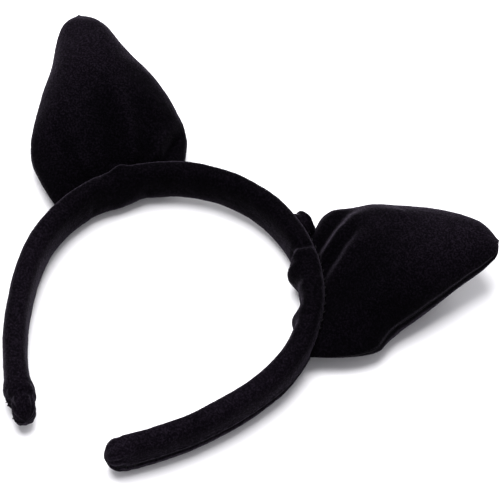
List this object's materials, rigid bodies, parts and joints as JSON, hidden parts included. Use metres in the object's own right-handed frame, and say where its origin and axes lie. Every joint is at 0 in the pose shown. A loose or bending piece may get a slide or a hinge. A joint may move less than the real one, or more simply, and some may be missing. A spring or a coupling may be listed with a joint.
{
  "type": "animal ears headband",
  "caption": "Padded C-shaped headband in black velour with two stuffed pointed animal ears sewn to its outer face.",
  "frame": {"origin": "centre of the crown's round arc, at half the band's width, which is the centre of the head-grip mount", "axes": "+Z is the hoop's own axis, pointing to the ears' front side; +Y points from the arms' open end to the middle of the crown; +X points to the right ear"},
  "size_m": [0.2424, 0.1946, 0.0337],
  "materials": {
    "velour": "black velour with a short pile",
    "thread": "black sewing thread",
    "core_plastic": "plain moulded plastic",
    "foam": "soft open-cell foam",
    "stuffing": "loose polyester fibre"
  },
  "bodies": {
    "left_side": {"left_hoop_core": "core_plastic", "left_inner_foam": "foam", "left_outer_foam": "foam", "left_band_cover": "velour", "left_cover_seam": "thread", "left_end_stitches": "thread", "left_ear_base_stitches": "thread"},
    "right_side": {"right_hoop_core": "core_plastic", "right_inner_foam": "foam", "right_outer_foam": "foam", "right_band_cover": "velour", "right_cover_seam": "thread", "right_end_stitches": "thread", "right_ear_base_stitches": "thread"},
    "left_ear": {"left_ear_front": "velour", "left_ear_back": "velour", "left_ear_stuffing": "stuffing", "left_ear_seam": "thread"},
    "right_ear": {"right_ear_front": "velour", "right_ear_back": "velour", "right_ear_stuffing": "stuffing", "right_ear_seam": "thread"}
  },
  "joints": [
    {"name": "hoop_spread", "type": "hinge", "parent": "left_side", "child": "right_side", "pos_m": [0, 0.071, 0], "axis": [0, 0, 1], "range_deg": [0, 24], "stiffness_Nm_per_rad": 0.9},
    {"name": "left_ear_tilt", "type": "hinge", "parent": "left_side", "child": "left_ear", "pos_m": [-0.06229, 0.04694, -0.001], "axis": [0.6018, 0.7986, 0], "range_deg": [-15, 30], "stiffness_Nm_per_rad": 0.2},
    {"name": "right_ear_tilt", "type": "hinge", "parent": "right_side", "child": "right_ear", "pos_m": [0.06229, 0.04694, -0.001], "axis": [0.6018, -0.7986, 0], "range_deg": [-15, 30], "stiffness_Nm_per_rad": 0.2}
  ]
}
